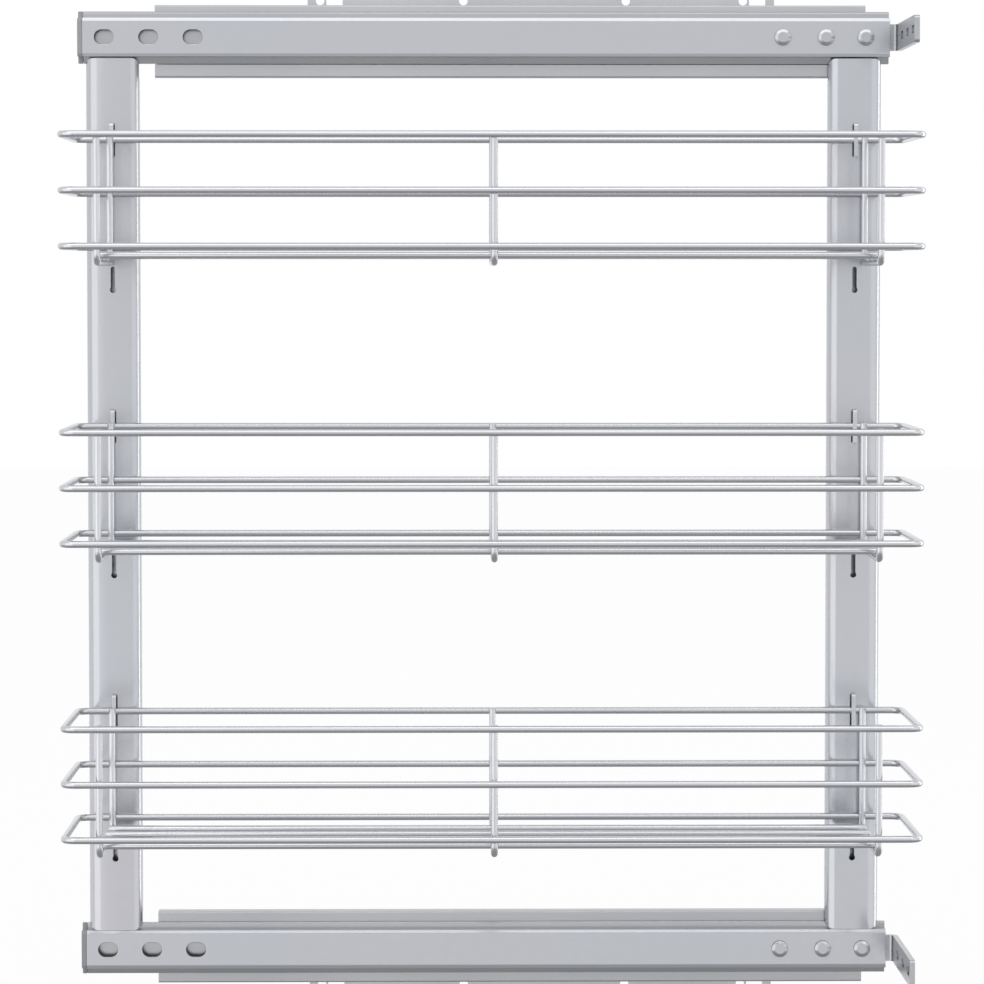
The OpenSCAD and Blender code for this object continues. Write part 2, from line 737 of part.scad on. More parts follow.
place() outer_cage(bottom_runner_z);  // bottom_outer_cage
place() balls(outer_cage_x0, bottom_runner_z, outer_ball_u, outer_ball_v);  // bottom_outer_balls
place() middle_member(bottom_runner_z);  // bottom_middle_member
place() inner_cage(bottom_runner_z);  // bottom_inner_cage
place() balls(inner_cage_x0, bottom_runner_z, inner_ball_u, inner_ball_v);  // bottom_inner_balls
place() inner_member(bottom_runner_z);  // bottom_inner_member
place() runner_rivet_set(bottom_runner_z);  // bottom_runner_rivets
place() rail(-rail_z);  // bottom_rail
place() rail_back_plate(-rail_z, bottom_runner_z);  // bottom_rail_back_plate
place() end_cap(-rail_z);  // bottom_end_cap
place() door_bracket(-rail_z);  // bottom_door_bracket
place() bracket_bolts(-rail_z);  // bottom_bracket_bolts
place() upright(-upright_span / 2);  // rear_upright
place() upright(upright_span / 2);  // front_upright
for (b = [0:2]) {
    name = str(basket_names[b], "_basket_");
    place() basket_ring(rim_z[b]);
    place() basket_ring(rim_z[b] - ring_pitch);
    place() basket_ring(rim_z[b] - 2 * ring_pitch);
    place() cross_wire(cross_xs[0], rim_z[b]);
    place() cross_wire(cross_xs[1], rim_z[b]);
    place() cross_wire(cross_xs[2], rim_z[b]);
    place() floor_wires(rim_z[b]);
    place() hooks(rim_z[b]);
}
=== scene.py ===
# %% [markdown]
# # A pull-out wire basket unit in bright plated steel
# The unit stands in a narrow base cabinet. A frame of two rails and two slotted uprights slides
# out on ball-bearing runners and carries three wire baskets. The exact solids come in as a fixed
# frame. This lesson rebuilds the pieces that show most with finer edges, welds and rounded
# ends, and gives every piece a steel finish. The solids stay where they are.

# %% The fixed frame
import json
import math

import bpy
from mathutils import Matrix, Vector

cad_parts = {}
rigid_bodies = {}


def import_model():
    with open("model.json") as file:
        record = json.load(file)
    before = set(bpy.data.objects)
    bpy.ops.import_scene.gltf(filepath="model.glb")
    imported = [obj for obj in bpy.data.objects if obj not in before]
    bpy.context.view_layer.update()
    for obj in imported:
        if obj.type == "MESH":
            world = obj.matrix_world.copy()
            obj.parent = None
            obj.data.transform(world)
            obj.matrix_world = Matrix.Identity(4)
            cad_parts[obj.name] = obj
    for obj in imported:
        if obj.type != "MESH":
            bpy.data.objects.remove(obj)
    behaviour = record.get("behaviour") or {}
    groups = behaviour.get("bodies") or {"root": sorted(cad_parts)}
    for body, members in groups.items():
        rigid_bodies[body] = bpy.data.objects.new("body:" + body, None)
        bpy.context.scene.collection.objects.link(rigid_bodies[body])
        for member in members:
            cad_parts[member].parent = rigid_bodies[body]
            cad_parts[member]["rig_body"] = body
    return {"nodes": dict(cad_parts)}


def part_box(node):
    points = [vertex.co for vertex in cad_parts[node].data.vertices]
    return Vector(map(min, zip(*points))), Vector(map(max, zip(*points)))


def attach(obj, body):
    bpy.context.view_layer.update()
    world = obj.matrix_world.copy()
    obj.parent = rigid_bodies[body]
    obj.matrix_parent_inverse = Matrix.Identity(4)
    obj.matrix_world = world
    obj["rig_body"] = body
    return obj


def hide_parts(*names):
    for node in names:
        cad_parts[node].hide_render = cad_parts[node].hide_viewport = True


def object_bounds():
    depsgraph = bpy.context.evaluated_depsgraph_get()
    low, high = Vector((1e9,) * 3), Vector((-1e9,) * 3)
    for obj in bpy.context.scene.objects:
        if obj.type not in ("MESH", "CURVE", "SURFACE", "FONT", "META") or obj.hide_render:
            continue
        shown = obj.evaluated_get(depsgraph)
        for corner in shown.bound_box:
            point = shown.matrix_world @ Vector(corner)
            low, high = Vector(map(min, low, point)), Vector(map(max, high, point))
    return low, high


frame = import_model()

cad_low, cad_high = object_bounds()
print("solids:", len(frame["nodes"]), "box", tuple(cad_low), tuple(cad_high))

# %% [markdown]
# ## The camera
# The photograph was taken from far away with a long lens, so the rails stay parallel. It looks
# down by three degrees. The middle basket is level with the camera's aim, the upper one is seen
# slightly from below and the lower one from above. A camera could be placed by eye, but here
# its place was worked out from the heights of the baskets' wires.

# %% The camera
FRAME_PIXELS = 984
FOCAL_PIXELS = 4207.5
SENSOR = 36
PITCH_DOWN = 0.0514
YAW = -0.0123
CAMERA_PLACE = (-0.0618, -2.4986, 0.1305)
camera_data = bpy.data.cameras.new("long_lens")
camera_data.sensor_width = SENSOR
camera_data.lens = SENSOR * FOCAL_PIXELS / FRAME_PIXELS
camera_data.clip_start, camera_data.clip_end = 0.1, 40
camera = bpy.data.objects.new("camera", camera_data)
camera.location = CAMERA_PLACE
camera.rotation_euler = (math.radians(90) - PITCH_DOWN, 0, YAW)
bpy.context.scene.collection.objects.link(camera)
bpy.context.scene.camera = camera
print("lens", round(camera_data.lens, 1), "mm")

# %% [markdown]
# ## Floor, backdrop and light
# Bright steel shows what is round it more than its own colour. In a plain white room a wire
# would look flat, so a photographer puts soft lamps where the highlights should be and lays
# grey cloth on the ground, out of the camera's sight, for the darker undersides. Here the room
# is white to the camera, and to the steel it is white at eye level and grey further down. The
# floor could be grey instead, but then the lower rail, close above it, would turn dark.


# %% Helpers for shader nodes
def add(tree, kind, **settings):
    """A new shader node with its settings."""
    node = tree.nodes.new(kind)
    for key, value in settings.items():
        setattr(node, key, value)
    return node


def put(node, **values):
    """Sets a node's inputs, with _ in place of a space in their names."""
    for key, value in values.items():
        node.inputs[key.replace("_", " ")].default_value = value
    return node


def join(tree, source, target):
    tree.links.new(source, target)


def white_to_steel(tree):
    """1 for the rays of the camera and those that steel or glass sends on, otherwise 0."""
    rays = add(tree, "ShaderNodeLightPath")
    total = rays.outputs["Is Camera Ray"]
    for name in ("Is Glossy Ray", "Is Transmission Ray"):
        more = add(tree, "ShaderNodeMath", operation="ADD", use_clamp=True)
        join(tree, total, more.inputs[0])
        join(tree, rays.outputs[name], more.inputs[1])
        total = more.outputs[0]
    return total


# %% The room
GROUND_TONES = ((-1.0, 0.30), (-0.75, 0.35), (-0.45, 0.47), (-0.25, 0.77), (-0.15, 0.98),
                (0.0, 0.86), (0.4, 0.86), (1.0, 0.79))
CLOTH_LIGHT = 1.17
ROOM_LIGHT = 0.62
scene = bpy.context.scene
scene.view_settings.view_transform = "Standard"
world = bpy.data.worlds.new("studio")
scene.world = world
world.use_nodes = True
room = world.node_tree
room.nodes.clear()
soft_light = put(add(room, "ShaderNodeBackground"), Color=(0.93, 0.96, 1.0, 1),
                 Strength=ROOM_LIGHT)
white = put(add(room, "ShaderNodeBackground"), Color=(1, 1, 1, 1), Strength=1.0)
cloth = put(add(room, "ShaderNodeBackground"), Strength=CLOTH_LIGHT)
way = add(room, "ShaderNodeTexCoord")
height = add(room, "ShaderNodeSeparateXYZ")
rise = put(add(room, "ShaderNodeMapRange"), From_Min=-1.0, From_Max=1.0)
tones = add(room, "ShaderNodeValToRGB")
stops = tones.color_ramp.elements
for (_, tone), stop in ((GROUND_TONES[0], stops[0]), (GROUND_TONES[-1], stops[1])):
    stop.color = (tone, tone, tone, 1)
for up, tone in GROUND_TONES[1:-1]:
    stops.new((up + 1) / 2).color = (tone, tone, tone, 1)
rays = add(room, "ShaderNodeLightPath")
seen = add(room, "ShaderNodeMixShader")
pick = add(room, "ShaderNodeMixShader")
out = add(room, "ShaderNodeOutputWorld")
join(room, way.outputs["Generated"], height.inputs["Vector"])
join(room, height.outputs["Z"], rise.inputs["Value"])
join(room, rise.outputs["Result"], tones.inputs["Fac"])
join(room, tones.outputs["Color"], cloth.inputs["Color"])
join(room, rays.outputs["Is Camera Ray"], seen.inputs["Fac"])
join(room, cloth.outputs[0], seen.inputs[1])
join(room, white.outputs[0], seen.inputs[2])
join(room, white_to_steel(room), pick.inputs["Fac"])
join(room, soft_light.outputs[0], pick.inputs[1])
join(room, seen.outputs[0], pick.inputs[2])
join(room, pick.outputs[0], out.inputs["Surface"])
print("room: tones from", GROUND_TONES[0][1], "below to", GROUND_TONES[-1][1], "above")


# %% The floor
def deselect():
    """Nothing selected, and no mesh left open for editing."""
    if bpy.context.object and bpy.context.object.mode != "OBJECT":
        bpy.ops.object.mode_set(mode="OBJECT")
    bpy.ops.object.select_all(action="DESELECT")


FLOOR_SIZE = 14
FLOOR_DROP = 0.002
WHITE_SHARE = 0.965
deselect()
bpy.ops.mesh.primitive_plane_add(size=FLOOR_SIZE, location=(0, 0, cad_low.z - FLOOR_DROP))
floor = bpy.context.object
floor.name = "floor"
floor.visible_glossy = False
paint = bpy.data.materials.new("pale_floor")
paint.use_nodes = True
tree = paint.node_tree
tree.nodes.clear()
matt = put(add(tree, "ShaderNodeBsdfDiffuse"), Color=(0.80, 0.80, 0.81, 1), Roughness=1.0)
glow = put(add(tree, "ShaderNodeEmission"), Color=(1, 1, 1, 1), Strength=1.0)
share = add(tree, "ShaderNodeMath", operation="MULTIPLY")
share.inputs[1].default_value = WHITE_SHARE
pick = add(tree, "ShaderNodeMixShader")
out = add(tree, "ShaderNodeOutputMaterial")
join(tree, white_to_steel(tree), share.inputs[0])
join(tree, share.outputs[0], pick.inputs["Fac"])
join(tree, matt.outputs[0], pick.inputs[1])
join(tree, glow.outputs[0], pick.inputs[2])
join(tree, pick.outputs[0], out.inputs["Surface"])
floor.data.materials.append(paint)
print("floor:", FLOOR_SIZE, "m wide,", FLOOR_DROP * 1000, "mm under the unit")


# %% The lamps
def panel(name, place, width, height, power):
    """A soft panel lamp at place that looks at the middle of the unit."""
    data = bpy.data.lights.new(name, "AREA")
    data.shape = "RECTANGLE"
    data.size, data.size_y = width, height
    data.energy = power
    lamp = bpy.data.objects.new(name, data)
    lamp.location = place
    to_middle = Vector((0, 0, 0)) - Vector(place)
    lamp.rotation_euler = to_middle.to_track_quat("-Z", "Y").to_euler()
    scene.collection.objects.link(lamp)


panel("overhead", (0.0, -1.18, 1.75), 3.2, 1.3, 13)
panel("left_side", (-1.20, -1.06, 0.1), 1.6, 2.0, 4.9)
panel("right_wash", (1.35, -0.90, 0.1), 1.4, 2.0, 1.5)
panel("right_side", (1.52, 0.42, 0.1), 0.26, 2.0, 4.0)

# %% [markdown]
# ## Steel finishes
# The wires, rails and uprights have a bright silver plate: nearly all metal, with a soft
# reflection and a very faint ripple from the plating bath. The runners and plates are rolled
# strip, with fine lines along their length. Each finish uses noise in the piece's own
# coordinates, stretched along the rolling where there is one, for its roughness and bump.


# %% A finish
def steel(name, light_tint, dark_tint, metallic, roughness, spread, grain, lines, bump):
    """Plated or rolled steel. grain is the size of the ripple in millimetres along X, Y, Z."""
    made = bpy.data.materials.new(name)
    made.use_nodes = True
    tree = made.node_tree
    tree.nodes.clear()
    shader = put(add(tree, "ShaderNodeBsdfPrincipled"), Metallic=metallic)
    out = add(tree, "ShaderNodeOutputMaterial")
    place = add(tree, "ShaderNodeTexCoord")
    patch = put(add(tree, "ShaderNodeTexNoise"), Scale=7.0, Detail=3.0, Roughness=0.5)
    colour = add(tree, "ShaderNodeValToRGB")
    colour.color_ramp.elements[0].position = 0.35
    colour.color_ramp.elements[0].color = (*dark_tint, 1)
    colour.color_ramp.elements[1].position = 0.65
    colour.color_ramp.elements[1].color = (*light_tint, 1)
    size = add(tree, "ShaderNodeMapping")
    size.inputs["Scale"].default_value = [1000 / g for g in grain]
    ripple = put(add(tree, "ShaderNodeTexNoise"), Scale=1.0, Detail=lines, Roughness=0.6)
    soften = add(tree, "ShaderNodeMapRange")
    put(soften, From_Min=0.25, From_Max=0.75, To_Min=roughness - spread, To_Max=roughness + spread)
    relief = put(add(tree, "ShaderNodeBump"), Strength=0.35, Distance=bump / 1000)
    join(tree, place.outputs["Object"], patch.inputs["Vector"])
    join(tree, patch.outputs["Fac"], colour.inputs["Fac"])
    join(tree, colour.outputs["Color"], shader.inputs["Base Color"])
    join(tree, place.outputs["Object"], size.inputs["Vector"])
    join(tree, size.outputs["Vector"], ripple.inputs["Vector"])
    join(tree, ripple.outputs["Fac"], soften.inputs["Value"])
    join(tree, soften.outputs["Result"], shader.inputs["Roughness"])
    join(tree, ripple.outputs["Fac"], relief.inputs["Height"])
    join(tree, relief.outputs["Normal"], shader.inputs["Normal"])
    join(tree, shader.outputs[0], out.inputs["Surface"])
    return made


wire_plate = steel("wire_plate", (0.61, 0.62, 0.64), (0.57, 0.58, 0.61), 0.95, 0.22, 0.03,
                   (2.5, 2.5, 2.5), 2.0, 0.004)
frame_plate = steel("frame_plate", (0.53, 0.53, 0.56), (0.51, 0.53, 0.56), 0.80, 0.20, 0.03,
                    (4.0, 4.0, 4.0), 2.0, 0.004)
# Back plates: darker than the rails, partly the zinc's own duller tone, partly painted shade for
# their recess behind the rails.
plate_zinc = steel("plate_zinc", (0.47, 0.48, 0.49), (0.44, 0.45, 0.47), 0.85, 0.24, 0.03,
                   (20.0, 1.5, 1.5), 2.0, 0.002)
rolled_strip = steel("rolled_strip", (0.53, 0.54, 0.56), (0.49, 0.50, 0.52), 0.65, 0.34, 0.06,
                     (60.0, 0.5, 0.5), 4.0, 0.004)
pressed_sheet = steel("pressed_sheet", (0.54, 0.55, 0.57), (0.48, 0.49, 0.51), 0.88, 0.30, 0.06,
                      (1.5, 1.5, 1.5), 4.0, 0.006)
hook_steel = steel("hook_steel", (0.62, 0.63, 0.65), (0.57, 0.58, 0.60), 0.92, 0.22, 0.04,
                   (1.5, 1.5, 1.5), 3.0, 0.004)
# Door brackets: the zinc's own tone, made darker with painted shade so the bracket plate looks
# shaded.
bracket_zinc = steel("bracket_zinc", (0.50, 0.51, 0.53), (0.40, 0.41, 0.43), 0.88, 0.30, 0.08,
                     (0.9, 0.9, 0.9), 5.0, 0.012)
turned_steel = steel("turned_steel", (0.50, 0.51, 0.53), (0.46, 0.47, 0.49), 0.90, 0.20, 0.04,
                     (0.8, 0.8, 0.8), 2.0, 0.003)
ball_steel = steel("ball_steel", (0.76, 0.76, 0.78), (0.72, 0.72, 0.74), 1.0, 0.08, 0.03,
                   (1.0, 1.0, 1.0), 2.0, 0.002)
moulded_cap = steel("moulded_cap", (0.38, 0.38, 0.39), (0.33, 0.33, 0.34), 0.0, 0.50, 0.08,
                    (0.6, 0.6, 0.6), 4.0, 0.02)
stop_rubber = steel("stop_rubber", (0.045, 0.045, 0.045), (0.03, 0.03, 0.03), 0.0, 0.75, 0.08,
                    (0.5, 0.5, 0.5), 4.0, 0.05)

# %% The finish of every solid
finishes = {
    "wire": wire_plate, "hooks": hook_steel, "upright": frame_plate,
    "rail": frame_plate, "rail_back_plate": plate_zinc, "end_cap": moulded_cap,
    "door_bracket": bracket_zinc, "bracket_bolts": turned_steel,
    "mounting_plate": pressed_sheet, "plate_rivets": turned_steel,
    "runner_rivets": turned_steel, "outer_member": rolled_strip,
    "middle_member": rolled_strip, "inner_member": rolled_strip, "outer_cage": rolled_strip,
    "inner_cage": rolled_strip, "balls": ball_steel, "rear_stop": stop_rubber,
}


def finish_of(node_name):
    """The longest ending that fits the node's name gives its finish."""
    fits = [k for k in finishes if node_name.rstrip("s").endswith(k.rstrip("s"))]
    return finishes[max(fits, key=len)]


for name, solid in frame["nodes"].items():
    solid.data.materials.clear()
    solid.data.materials.append(finish_of(name))
print("finishes:", len(set(finishes.values())))

# %% [markdown]
# ## Tools for bending wire
# A basket is made of round wire, four millimetres thick. On the real machine a straight wire is
# pushed out and bent round a former. The same is done here: an open circle is drawn out with
# extrude for each straight run and swept with spin for each bend, so every bend keeps the
# wire's thickness. A curve with a round bevel would also do, but its bends pinch at the ends.


# %% The wire's tools
ring_low, ring_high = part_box("upper_basket_rim_wire")
WIRE_R = (ring_high.z - ring_low.z) / 2
WIRE_SIDES = 20
BEND_STEPS = 8
SAME_PLACE = 1e-6


def middle(solid):
    """The middle of a solid's box."""
    low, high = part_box(solid)
    return (low + high) / 2


def shift_to(node, model_node):
    """The way from one solid's lower corner to another's."""
    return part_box(node)[0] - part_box(model_node)[0]


def start_wire(name, place, turn):
    """An open circle of wire at place, open for editing, with all of it selected."""
    deselect()
    bpy.ops.mesh.primitive_circle_add(vertices=WIRE_SIDES, radius=WIRE_R, fill_type="NOTHING",
                                      location=place, rotation=turn)
    piece = bpy.context.object
    piece.name = name
    bpy.ops.object.transform_apply(location=True, rotation=True, scale=True)
    bpy.ops.object.mode_set(mode="EDIT")
    bpy.ops.mesh.select_all(action="SELECT")
    return piece


def draw_out(x, y, z):
    """Draws the selected end on in a straight line."""
    bpy.ops.mesh.extrude_region_move(TRANSFORM_OT_translate={"value": (x, y, z)})


def bend(centre, axis, degrees):
    """Sweeps the selected end round a former. The operator turns clockwise about the axis."""
    bpy.ops.mesh.spin(steps=BEND_STEPS, angle=math.radians(degrees), center=centre, axis=axis)


def close_piece(piece, smooth_angle=None):
    """Merges doubles, points the faces outwards and smooths the finished piece."""
    bpy.ops.object.mode_set(mode="EDIT")
    bpy.ops.mesh.select_all(action="SELECT")
    bpy.ops.mesh.remove_doubles(threshold=SAME_PLACE)
    bpy.ops.mesh.normals_make_consistent(inside=False)
    bpy.ops.object.mode_set(mode="OBJECT")
    if smooth_angle is None:
        bpy.ops.object.shade_smooth()
    else:
        bpy.ops.object.shade_smooth_by_angle(angle=math.radians(smooth_angle))


def copy_of(model, name, shift):
    """A copy of a finished piece, with its own mesh, moved by shift."""
    deselect()
    model.select_set(True)
    bpy.context.view_layer.objects.active = model
    bpy.ops.object.duplicate(linked=False)
    piece = bpy.context.object
    piece.name = name
    bpy.ops.transform.translate(value=shift)
    bpy.ops.object.transform_apply(location=True, rotation=False, scale=False)
    return piece


def copy_unless_there(model, name, shift):
    """A copy moved by shift, or the model itself where there is no way to go."""
    return copy_of(model, name, shift) if shift.length > SAME_PLACE else model


def join_all(first, *more):
    """Joins pieces into the first of them."""
    deselect()
    for one in (first,) + more:
        one.select_set(True)
    bpy.context.view_layer.objects.active = first
    bpy.ops.object.join()


def give(piece, body, slot, finish, *nodes):
    """Gives a finished piece its finish, hangs it on the body it rides on and hides the solids it
    stands for. slot is not used.
    """
    piece.data.name = piece.name
    piece.data.materials.clear()
    piece.data.materials.append(finish)
    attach(piece, body)
    if nodes:
        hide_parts(*nodes)


# %% [markdown]
# ## The closed wires
# Each basket has three closed wires, one above the other. The ends of such a wire meet in the
# middle of a long side and are welded end to end, which leaves a slight ring of upset metal.
# One wire is bent here, with that ring on the side towards the uprights, and copied eight times.

# %% One closed wire
BEND_R = 0.007
SEAM_SWELL = 1.05
SEAM_HALF = 0.0009
ring_mid = middle("upper_basket_rim_wire")
half_x = (ring_high.x - ring_low.x) / 2 - WIRE_R - BEND_R
half_y = (ring_high.y - ring_low.y) / 2 - WIRE_R - BEND_R
seam_y = ring_mid.y + half_y + BEND_R
closed_wire = start_wire("upper_basket_top_ring", (ring_mid.x, seam_y, ring_mid.z),
                         (0, math.radians(90), 0))
swell = (SEAM_SWELL, SEAM_SWELL, SEAM_SWELL)
bpy.ops.transform.resize(value=swell, center_override=(ring_mid.x, seam_y, ring_mid.z))
draw_out(SEAM_HALF, 0, 0)
bpy.ops.transform.resize(value=[1 / s for s in swell],
                         center_override=(ring_mid.x + SEAM_HALF, seam_y, ring_mid.z))
draw_out(half_x - SEAM_HALF, 0, 0)
corners = ((1, 1), (1, -1), (-1, -1), (-1, 1))
runs = ((0, -2 * half_y, 0), (-2 * half_x, 0, 0), (0, 2 * half_y, 0),
        (half_x - SEAM_HALF, 0, 0))
for (side_x, side_y), way in zip(corners, runs):
    former = (ring_mid.x + side_x * half_x, ring_mid.y + side_y * half_y, ring_mid.z)
    bend(former, (0, 0, 1), 90)
    draw_out(*way)
draw_out(SEAM_HALF, 0, 0)
bpy.ops.transform.resize(value=swell, center_override=(ring_mid.x, seam_y, ring_mid.z))
close_piece(closed_wire)
length = 4 * half_x + 4 * half_y + 2 * math.pi * BEND_R
print("closed wire:", round(length, 3), "m,", len(closed_wire.data.polygons), "faces, box",
      tuple(closed_wire.dimensions))

# %% Nine closed wires
BASKETS = ("upper", "middle", "lower")
RINGS = {"rim_wire": "top_ring", "middle_wire": "middle_ring", "lower_wire": "low_ring"}
for basket in BASKETS:
    for node, ring in RINGS.items():
        solid = basket + "_basket_" + node
        piece = copy_unless_there(closed_wire, basket + "_basket_" + ring,
                                  middle(solid) - ring_mid)
        give(piece, basket + "_basket", "wire_chrome", wire_plate, solid)
print("closed wires:", len(BASKETS) * len(RINGS))

# %% [markdown]
# ## The cross wires
# Three wires run down inside the closed wires, under the floor and up the other side. Their
# ends are cut off level with the rim and the cut is dressed, so it has a small chamfer. One is
# bent here and copied to the nine places.

# %% One cross wire
CROSS_BEND_R = 0.005
CUT_EDGE = 0.0003
SIDES = ("rear", "centre", "front")
u_low, u_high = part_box("upper_basket_rear_cross_wire")
u_x = (u_low.x + u_high.x) / 2
leg_y = (u_low.y + WIRE_R, u_high.y - WIRE_R)
base_z = u_low.z + WIRE_R


def dress_end(x, y, z):
    """Closes the selected end with a chamfer. x, y, z is the way out."""
    bpy.ops.mesh.edge_face_add()
    bpy.ops.mesh.extrude_region_move(TRANSFORM_OT_translate={
        "value": (x * CUT_EDGE, y * CUT_EDGE, z * CUT_EDGE)})
    bpy.ops.mesh.select_mode(type="FACE")
    shrink = 1 - CUT_EDGE / WIRE_R
    bpy.ops.transform.resize(value=(shrink, shrink, shrink))


def pick_points(piece, test):
    """Selects the points of the open piece whose place passes the test."""
    bpy.ops.mesh.select_mode(type="VERT")
    bpy.ops.mesh.select_all(action="DESELECT")
    bpy.ops.object.mode_set(mode="OBJECT")
    for point in piece.data.vertices:
        point.select = test(point.co)
    bpy.ops.object.mode_set(mode="EDIT")


cut_z = u_high.z - CUT_EDGE
cross_wire = start_wire("upper_basket_rear_u_wire", (u_x, leg_y[0], cut_z), (0, 0, 0))
draw_out(0, 0, base_z + CROSS_BEND_R - cut_z)
bend((u_x, leg_y[0] + CROSS_BEND_R, base_z + CROSS_BEND_R), (-1, 0, 0), 90)
draw_out(0, leg_y[1] - leg_y[0] - 2 * CROSS_BEND_R, 0)
bend((u_x, leg_y[1] - CROSS_BEND_R, base_z + CROSS_BEND_R), (-1, 0, 0), 90)
draw_out(0, 0, cut_z - base_z - CROSS_BEND_R)
dress_end(0, 0, 1)
pick_points(cross_wire, lambda p: p.z > cut_z - SAME_PLACE and p.y < leg_y[0] + WIRE_R * 1.01)
dress_end(0, 0, 1)
close_piece(cross_wire, 35)
print("cross wire:", len(cross_wire.data.polygons), "faces, box", tuple(cross_wire.dimensions),
      "solid", tuple(u_high - u_low))

# %% Nine cross wires
for basket in BASKETS:
    for side in SIDES:
        solid = basket + "_basket_" + side + "_cross_wire"
        piece = copy_unless_there(cross_wire, basket + "_basket_" + side + "_u_wire",
                                  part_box(solid)[0] - u_low)
        give(piece, basket + "_basket", "wire_chrome", wire_plate, solid)
print("cross wires:", len(BASKETS) * len(SIDES))

# %% [markdown]
# ## The floor wires
# Four straight wires lie on the cross wires and make the basket's floor. They are cut to length
# and tumbled, so their ends are domed and show as bright dots just past the end cross wires. A
# round bar is stood along X, and each end is inset and moved out twice.

# %% One floor wire
FLOOR_WIRES = 4
DOME = 0.0009
DOME_STEPS = ((0.10, 0.45), (0.22, 0.35), (0.30, 0.20))
floor_low, floor_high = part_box("upper_basket_floor_wires")
floor_mid = middle("upper_basket_floor_wires")
first_y, last_y = floor_low.y + WIRE_R, floor_high.y - WIRE_R
deselect()
bpy.ops.mesh.primitive_cylinder_add(
    vertices=WIRE_SIDES, radius=WIRE_R, depth=floor_high.x - floor_low.x - 2 * DOME,
    location=(floor_mid.x, first_y, floor_mid.z),
    rotation=(0, math.radians(90), 0))
floor_wires = bpy.context.object
floor_wires.name = "upper_basket_floor_grid"
bpy.ops.object.transform_apply(location=True, rotation=True, scale=True)


def pick_faces(piece, test):
    """Selects the faces of the open piece whose middle and normal pass the test."""
    bpy.ops.mesh.select_mode(type="FACE")
    bpy.ops.mesh.select_all(action="DESELECT")
    bpy.ops.object.mode_set(mode="OBJECT")
    for face in piece.data.polygons:
        face.select = test(face.center, face.normal)
    bpy.ops.object.mode_set(mode="EDIT")


bpy.ops.object.mode_set(mode="EDIT")
for way in (-1, 1):
    for inset, out_by in DOME_STEPS:
        pick_faces(floor_wires, lambda c, n: n.x * way > 0.99)
        bpy.ops.mesh.inset(thickness=inset * WIRE_R)
        bpy.ops.transform.translate(value=(way * out_by * DOME, 0, 0))

# %% Four floor wires in each basket
bpy.ops.mesh.select_all(action="SELECT")
pitch = (last_y - first_y) / (FLOOR_WIRES - 1)
for i in range(1, FLOOR_WIRES):
    bpy.ops.mesh.duplicate_move(TRANSFORM_OT_translate={"value": (0, pitch, 0)})
close_piece(floor_wires, 50)
for basket in BASKETS:
    solid = basket + "_basket_floor_wires"
    piece = copy_unless_there(floor_wires, basket + "_basket_floor_grid",
                              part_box(solid)[0] - floor_low)
    give(piece, basket + "_basket", "wire_chrome", wire_plate, solid)
print("floor wires:", FLOOR_WIRES, "a basket,", round(pitch * 1000, 1), "mm apart")

# %% [markdown]
# ## The welds
# Every crossing is a resistance weld: the two wires are pressed together and a little metal
# is squeezed out round the contact. It shows as a small waisted bead. One bead is turned from
# a short bar whose ends flare onto the wires, and copied to every crossing of a basket.

# %% One bead
BEAD_R = 0.0009
BEAD_LENGTH = 0.0015
deselect()
bpy.ops.mesh.primitive_cylinder_add(vertices=12, radius=BEAD_R, depth=BEAD_LENGTH * 0.4,
                                    location=(0, 0, 0), end_fill_type="NOTHING")
bead = bpy.context.object
bead.name = "upper_basket_weld_beads"
bpy.ops.object.mode_set(mode="EDIT")
for way in (-1, 1):
    pick_points(bead, lambda p: p.z * way > 0)
    for flare in (1.12, 1.28):
        bpy.ops.mesh.extrude_region_move(
            TRANSFORM_OT_translate={"value": (0, 0, way * BEAD_LENGTH * 0.15)})
        bpy.ops.transform.resize(value=(flare, flare, 1))
    bpy.ops.mesh.edge_face_add()
close_piece(bead, 60)
print("bead:", len(bead.data.polygons), "faces")

# %% The crossings of one basket
ring_z = [middle("upper_basket_" + ring).z for ring in RINGS]
cross_x = [middle("upper_basket_" + side + "_cross_wire").x for side in SIDES]
crossings = []
for x in cross_x:
    for z in ring_z:
        crossings.append(((x, ring_low.y + 2 * WIRE_R, z), "Y"))
        crossings.append(((x, ring_high.y - 2 * WIRE_R, z), "Y"))
    for i in range(FLOOR_WIRES):
        crossings.append(((x, first_y + i * pitch, floor_low.z), "Z"))
beads = []
for place, axis in crossings:
    one = copy_of(bead, "bead", (0, 0, 0))
    if axis == "Y":
        bpy.ops.transform.rotate(value=math.radians(90), orient_axis="X",
                                 center_override=(0, 0, 0))
    bpy.ops.transform.translate(value=place)
    bpy.ops.object.transform_apply(location=True, rotation=True, scale=True)
    beads.append(one)
bpy.data.objects.remove(bead)
join_all(*beads)
weld_beads = beads[0]
weld_beads.name = "upper_basket_weld_beads"
for basket in BASKETS:
    piece = copy_unless_there(weld_beads, basket + "_basket_weld_beads",
                              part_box(basket + "_basket_rim_wire")[0] - ring_low)
    give(piece, basket + "_basket", "wire_chrome", wire_plate)
print("welds:", len(crossings), "a basket")

# %% [markdown]
# ## Tools for sheet steel
# The rails, uprights, brackets and plates are cut, punched and bent from strip. Three tools
# cover them: a block to start from, a round bar pulled apart into an oval, which is the shape
# of every punched slot and of an upright, and a saw that takes such bars away. Sheared edges
# are never quite sharp, so each finished piece has its edges eased.


# %% The sheet's tools
BAR_SIDES = 40
PUNCH_LENGTH = 0.006
LONG_PUNCH = 0.01
EASED_ANGLE = 40
LEAST_CREASE = 11


def block(name, low, high):
    """A block between two corners."""
    deselect()
    bpy.ops.mesh.primitive_cube_add(size=1, location=[(a + b) / 2 for a, b in zip(low, high)])
    piece = bpy.context.object
    piece.name = name
    piece.scale = [b - a for a, b in zip(low, high)]
    bpy.ops.object.transform_apply(location=True, rotation=True, scale=True)
    return piece


